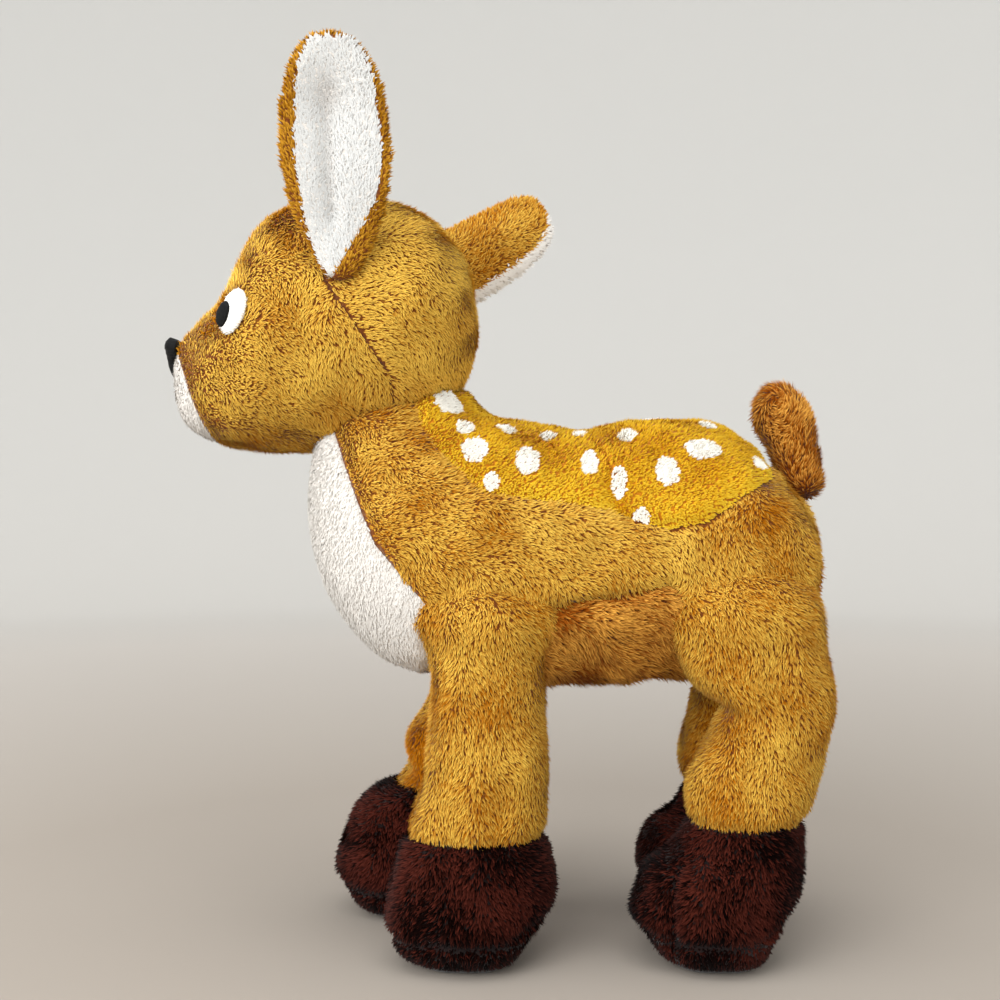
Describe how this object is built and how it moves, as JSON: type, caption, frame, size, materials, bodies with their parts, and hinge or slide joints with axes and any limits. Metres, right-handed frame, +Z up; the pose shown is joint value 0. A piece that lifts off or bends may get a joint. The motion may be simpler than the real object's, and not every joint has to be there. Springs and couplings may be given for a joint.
{
  "type": "plush deer",
  "caption": "Standing plush fawn with a spotted saddle, white chest, upright and folded ears, curled tail and dark hooves; soft legs, ears, head and tail flex at their seams.",
  "frame": {"origin": "centre of the bounding box on the floor that the four hooves stand on", "axes": "+Z up, the nose points to -X, the toy's left side faces -Y"},
  "size_m": [0.251, 0.1138, 0.3229],
  "materials": {
    "brown_plush": "matte",
    "saddle_plush": "matte",
    "belly_plush": "matte",
    "white_plush": "matte",
    "hoof_plush": "matte",
    "black_satin": "satin",
    "white_felt": "matte",
    "stuffing": "matte"
  },
  "bodies": {
    "torso": {"left_side_panel": "brown_plush", "right_side_panel": "brown_plush", "saddle_panel": "saddle_plush", "chest_panel": "white_plush", "belly_panel": "belly_plush", "torso_stuffing": "stuffing"},
    "head": {"left_face_panel": "brown_plush", "right_face_panel": "brown_plush", "back_of_head_panel": "brown_plush", "muzzle_panel": "white_plush", "head_stuffing": "stuffing", "nose": "black_satin", "left_eye_white": "white_felt", "left_eye_pupil": "black_satin", "right_eye_white": "white_felt", "right_eye_pupil": "black_satin"},
    "left_ear": {"left_ear_back": "brown_plush", "left_ear_lining": "white_plush"},
    "right_ear": {"right_ear_back": "brown_plush", "right_ear_lining": "white_plush"},
    "tail": {"tail_cover": "brown_plush", "tail_stuffing": "stuffing"},
    "left_front_leg": {"left_front_leg_cover": "brown_plush", "left_front_hoof_cover": "hoof_plush", "left_front_sole": "hoof_plush", "left_front_leg_stuffing": "stuffing"},
    "right_front_leg": {"right_front_leg_cover": "brown_plush", "right_front_hoof_cover": "hoof_plush", "right_front_sole": "hoof_plush", "right_front_leg_stuffing": "stuffing"},
    "left_rear_leg": {"left_rear_leg_cover": "brown_plush", "left_rear_hoof_cover": "hoof_plush", "left_rear_sole": "hoof_plush", "left_rear_leg_stuffing": "stuffing"},
    "right_rear_leg": {"right_rear_leg_cover": "brown_plush", "right_rear_hoof_cover": "hoof_plush", "right_rear_sole": "hoof_plush", "right_rear_leg_stuffing": "stuffing"}
  },
  "joints": [
    {"name": "head_turn", "type": "hinge", "parent": "torso", "child": "head", "pos_m": [-0.03721, 0, 0.19198], "axis": [-0.2296, 0, 0.9733], "range_deg": [-30, 30], "stiffness_Nm_per_rad": 0.1},
    {"name": "left_ear_fold", "type": "hinge", "parent": "head", "child": "left_ear", "pos_m": [-0.05104, -0.04752, 0.24596], "axis": [0, 0.995, 0.0998], "range_deg": [-20, 60], "stiffness_Nm_per_rad": 0.04},
    {"name": "right_ear_fold", "type": "hinge", "parent": "head", "child": "right_ear", "pos_m": [-0.05104, 0.04752, 0.24596], "axis": [0, 0.995, -0.0998], "range_deg": [-78, 2], "stiffness_Nm_per_rad": 0.04},
    {"name": "tail_wag", "type": "hinge", "parent": "torso", "child": "tail", "pos_m": [0.1165, 0, 0.1714], "axis": [1, 0, 0], "range_deg": [-20, 20], "stiffness_Nm_per_rad": 0.03},
    {"name": "left_front_leg_swing", "type": "hinge", "parent": "torso", "child": "left_front_leg", "pos_m": [-0.00206, -0.029, 0.11995], "axis": [0, 1, 0], "range_deg": [-5, 15], "stiffness_Nm_per_rad": 0.8},
    {"name": "right_front_leg_swing", "type": "hinge", "parent": "torso", "child": "right_front_leg", "pos_m": [-0.00206, 0.029, 0.11995], "axis": [0, 1, 0], "range_deg": [-5, 15], "stiffness_Nm_per_rad": 0.8},
    {"name": "left_rear_leg_swing", "type": "hinge", "parent": "torso", "child": "left_rear_leg", "pos_m": [0.0899, -0.029, 0.12201], "axis": [0, 1, 0], "range_deg": [-15, 5], "stiffness_Nm_per_rad": 0.8},
    {"name": "right_rear_leg_swing", "type": "hinge", "parent": "torso", "child": "right_rear_leg", "pos_m": [0.0899, 0.029, 0.12201], "axis": [0, 1, 0], "range_deg": [-15, 5], "stiffness_Nm_per_rad": 0.8}
  ]
}
